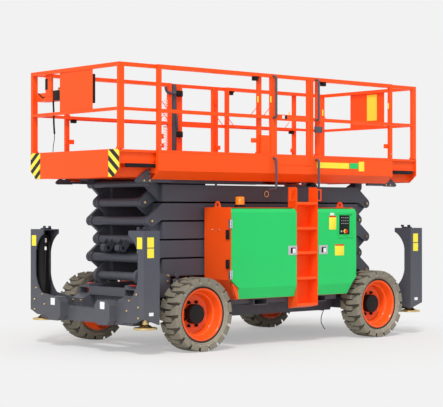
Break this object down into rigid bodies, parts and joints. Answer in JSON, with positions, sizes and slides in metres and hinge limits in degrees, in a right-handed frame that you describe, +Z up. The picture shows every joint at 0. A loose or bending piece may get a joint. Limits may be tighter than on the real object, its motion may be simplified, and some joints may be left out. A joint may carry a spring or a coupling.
{
  "type": "rough terrain scissor lift",
  "caption": "Stowed rough-terrain scissor lift with roll-out decks, side modules, ladders, outriggers and lugged tyres.",
  "frame": {"origin": "on the ground under the middle of the machine", "axes": "+X forward to the console end, +Y to the machine's left, +Z up"},
  "size_m": [4.84, 2.28, 3.196],
  "materials": {
    "orange": "semi-gloss enamel",
    "green": "semi-gloss enamel",
    "dark_grey": "satin enamel",
    "black": "satin black",
    "steel": "bright steel",
    "tyre": "grey foam-filled tyre",
    "zinc": "yellow zinc",
    "amber": "amber lens"
  },
  "bodies": {
    "chassis": {"chassis_beams": "dark_grey", "cross_members": "dark_grey", "fork_pockets": "dark_grey", "front_axle": "dark_grey", "rear_axle": "dark_grey", "outrigger_front": "dark_grey", "outrigger_rear": "dark_grey", "leg_cylinders": "black", "module_left": "orange", "module_right": "orange", "engine_and_tank": "dark_grey", "ladder_left": "orange", "ladder_right": "orange", "beacon": "amber", "earth_strap": "black"},
    "steer_left": {"knuckle_left": "dark_grey"},
    "steer_right": {"knuckle_right": "dark_grey"},
    "lift_barrel_pair": {"lift_barrels": "black"},
    "lift_rod_pair": {"lift_rods": "steel"},
    "platform": {"platform_deck": "orange", "scissor_tracks": "dark_grey", "platform_rails": "orange", "extension_supports": "orange", "grab_bars": "steel", "document_box": "orange"},
    "front_extension": {"front_extension_deck": "orange", "front_extension_rails": "orange", "console": "black", "console_lead": "black", "console_wire": "black"},
    "rear_extension": {"rear_extension_deck": "orange", "rear_extension_rails": "orange"},
    "left_gate": {"gate_left": "orange"},
    "right_gate": {"gate_right": "orange"},
    "front_left_wheel": {"tyre_front_left": "tyre", "wheel_front_left": "orange"},
    "front_left_foot": {"foot_front_left": "zinc"},
    "front_left_door": {"door_front_left": "green"},
    "front_right_wheel": {"tyre_front_right": "tyre", "wheel_front_right": "orange"},
    "front_right_foot": {"foot_front_right": "zinc"},
    "front_right_door": {"door_front_right": "green"},
    "rear_left_wheel": {"tyre_rear_left": "tyre", "wheel_rear_left": "orange"},
    "rear_left_foot": {"foot_rear_left": "zinc"},
    "rear_left_door": {"door_rear_left": "green"},
    "rear_right_wheel": {"tyre_rear_right": "tyre", "wheel_rear_right": "orange"},
    "rear_right_foot": {"foot_rear_right": "zinc"},
    "rear_right_door": {"door_rear_right": "green"},
    "outer_1": {"outer_arms_1": "dark_grey"},
    "inner_1": {"inner_arms_1": "dark_grey"},
    "outer_2": {"outer_arms_2": "dark_grey"},
    "inner_2": {"inner_arms_2": "dark_grey"},
    "outer_3": {"outer_arms_3": "dark_grey"},
    "inner_3": {"inner_arms_3": "dark_grey"},
    "outer_4": {"outer_arms_4": "dark_grey"},
    "inner_4": {"inner_arms_4": "dark_grey"},
    "outer_5": {"outer_arms_5": "dark_grey"},
    "inner_5": {"inner_arms_5": "dark_grey"}
  },
  "joints": [
    {"name": "lift", "type": "hinge", "parent": "chassis", "child": "outer_5", "pos_m": [-1.76, 0, 0.82], "axis": [0, -1, 0], "range_deg": [0, 51.54]},
    {"name": "outer_4_fold", "type": "hinge", "parent": "outer_5", "child": "outer_4", "pos_m": [1.76, 0, 1.0328], "axis": [0, 1, 0], "range_deg": [0, 103.13]},
    {"name": "outer_3_fold", "type": "hinge", "parent": "outer_4", "child": "outer_3", "pos_m": [-1.76, 0, 1.2456], "axis": [0, -1, 0], "range_deg": [0, 103.13]},
    {"name": "outer_2_fold", "type": "hinge", "parent": "outer_3", "child": "outer_2", "pos_m": [1.76, 0, 1.4584], "axis": [0, 1, 0], "range_deg": [0, 103.13]},
    {"name": "outer_1_fold", "type": "hinge", "parent": "outer_2", "child": "outer_1", "pos_m": [-1.76, 0, 1.6712], "axis": [0, -1, 0], "range_deg": [0, 103.13]},
    {"name": "inner_5_fold", "type": "hinge", "parent": "outer_5", "child": "inner_5", "pos_m": [0, 0, 0.9264], "axis": [0, 1, 0], "range_deg": [0, 103.13]},
    {"name": "inner_4_fold", "type": "hinge", "parent": "outer_4", "child": "inner_4", "pos_m": [0, 0, 1.1392], "axis": [0, -1, 0], "range_deg": [0, 103.13]},
    {"name": "inner_3_fold", "type": "hinge", "parent": "outer_3", "child": "inner_3", "pos_m": [0, 0, 1.352], "axis": [0, 1, 0], "range_deg": [0, 103.13]},
    {"name": "inner_2_fold", "type": "hinge", "parent": "outer_2", "child": "inner_2", "pos_m": [0, 0, 1.5648], "axis": [0, -1, 0], "range_deg": [0, 103.13]},
    {"name": "inner_1_fold", "type": "hinge", "parent": "outer_1", "child": "inner_1", "pos_m": [0, 0, 1.7776], "axis": [0, 1, 0], "range_deg": [0, 103.13]},
    {"name": "platform_level", "type": "hinge", "parent": "inner_1", "child": "platform", "pos_m": [-1.76, 0, 1.884], "axis": [0, -1, 0], "range_deg": [0, 51.59]},
    {"name": "lift_barrel_swing", "type": "hinge", "parent": "outer_5", "child": "lift_barrel_pair", "pos_m": [-1.63, 0, 0.79], "axis": [0, -1, 0], "range_deg": [0, 13.77]},
    {"name": "lift_rod_slide", "type": "slide", "parent": "lift_barrel_pair", "child": "lift_rod_pair", "axis": [0.9948, 0, 0.1017], "range_m": [0, 2.37]},
    {"name": "steer_left_turn", "type": "hinge", "parent": "chassis", "child": "steer_left", "pos_m": [1.435, 0.79, 0.415], "axis": [0, 0, 1], "range_deg": [-30, 30]},
    {"name": "steer_right_turn", "type": "hinge", "parent": "chassis", "child": "steer_right", "pos_m": [1.435, -0.79, 0.415], "axis": [0, 0, 1], "range_deg": [-30.05, 30.05]},
    {"name": "front_left_wheel_spin", "type": "hinge", "parent": "steer_left", "child": "front_left_wheel", "pos_m": [1.435, 0.9875, 0.415], "axis": [0, 1, 0], "continuous": true},
    {"name": "front_right_wheel_spin", "type": "hinge", "parent": "steer_right", "child": "front_right_wheel", "pos_m": [1.435, -0.9875, 0.415], "axis": [0, 1, 0], "continuous": true},
    {"name": "rear_left_wheel_spin", "type": "hinge", "parent": "chassis", "child": "rear_left_wheel", "pos_m": [-1.435, 0.9875, 0.415], "axis": [0, 1, 0], "continuous": true},
    {"name": "rear_right_wheel_spin", "type": "hinge", "parent": "chassis", "child": "rear_right_wheel", "pos_m": [-1.435, -0.9875, 0.415], "axis": [0, 1, 0], "continuous": true},
    {"name": "front_left_foot_drop", "type": "slide", "parent": "chassis", "child": "front_left_foot", "axis": [0, 0, -1], "range_m": [0, 0.35]},
    {"name": "front_right_foot_drop", "type": "slide", "parent": "chassis", "child": "front_right_foot", "axis": [0, 0, -1], "range_m": [0, 0.35]},
    {"name": "rear_left_foot_drop", "type": "slide", "parent": "chassis", "child": "rear_left_foot", "axis": [0, 0, -1], "range_m": [0, 0.35]},
    {"name": "rear_right_foot_drop", "type": "slide", "parent": "chassis", "child": "rear_right_foot", "axis": [0, 0, -1], "range_m": [0, 0.35]},
    {"name": "front_extension_roll", "type": "slide", "parent": "platform", "child": "front_extension", "axis": [1, 0, 0], "range_m": [0, 1.4]},
    {"name": "rear_extension_roll", "type": "slide", "parent": "platform", "child": "rear_extension", "axis": [-1, 0, 0], "range_m": [0, 1.1]},
    {"name": "left_gate_swing", "type": "hinge", "parent": "platform", "child": "left_gate", "pos_m": [-0.4425, 0.858, 2.6], "axis": [0, 0, -1], "range_deg": [0, 90]},
    {"name": "right_gate_swing", "type": "hinge", "parent": "platform", "child": "right_gate", "pos_m": [-0.4425, -0.858, 2.6], "axis": [0, 0, 1], "range_deg": [0, 90]},
    {"name": "front_left_door_swing", "type": "hinge", "parent": "chassis", "child": "front_left_door", "pos_m": [1.008, 1.088, 1.1], "axis": [0, 0, -1], "range_deg": [0, 90]},
    {"name": "rear_left_door_swing", "type": "hinge", "parent": "chassis", "child": "rear_left_door", "pos_m": [-1.071, 1.03, 1.1], "axis": [0, 0, 1], "range_deg": [0, 75]},
    {"name": "front_right_door_swing", "type": "hinge", "parent": "chassis", "child": "front_right_door", "pos_m": [1.008, -1.088, 1.1], "axis": [0, 0, 1], "range_deg": [0, 90]},
    {"name": "rear_right_door_swing", "type": "hinge", "parent": "chassis", "child": "rear_right_door", "pos_m": [-1.071, -1.03, 1.1], "axis": [0, 0, -1], "range_deg": [0, 75]}
  ],
  "couplings": [
    {"joint": "outer_4_fold", "follows": "lift", "ratio": 2},
    {"joint": "outer_3_fold", "follows": "lift", "ratio": 2},
    {"joint": "outer_2_fold", "follows": "lift", "ratio": 2},
    {"joint": "outer_1_fold", "follows": "lift", "ratio": 2},
    {"joint": "inner_5_fold", "follows": "lift", "ratio": 2},
    {"joint": "inner_4_fold", "follows": "lift", "ratio": 2},
    {"joint": "inner_3_fold", "follows": "lift", "ratio": 2},
    {"joint": "inner_2_fold", "follows": "lift", "ratio": 2},
    {"joint": "inner_1_fold", "follows": "lift", "ratio": 2},
    {"joint": "platform_level", "follows": "lift", "ratio": 1},
    {"joint": "lift_barrel_swing", "follows": "lift", "ratio": 0.26619},
    {"joint": "lift_rod_slide", "follows": "lift", "m_per_rad": 2.6287},
    {"joint": "steer_right_turn", "follows": "steer_left_turn", "ratio": 1}
  ]
}
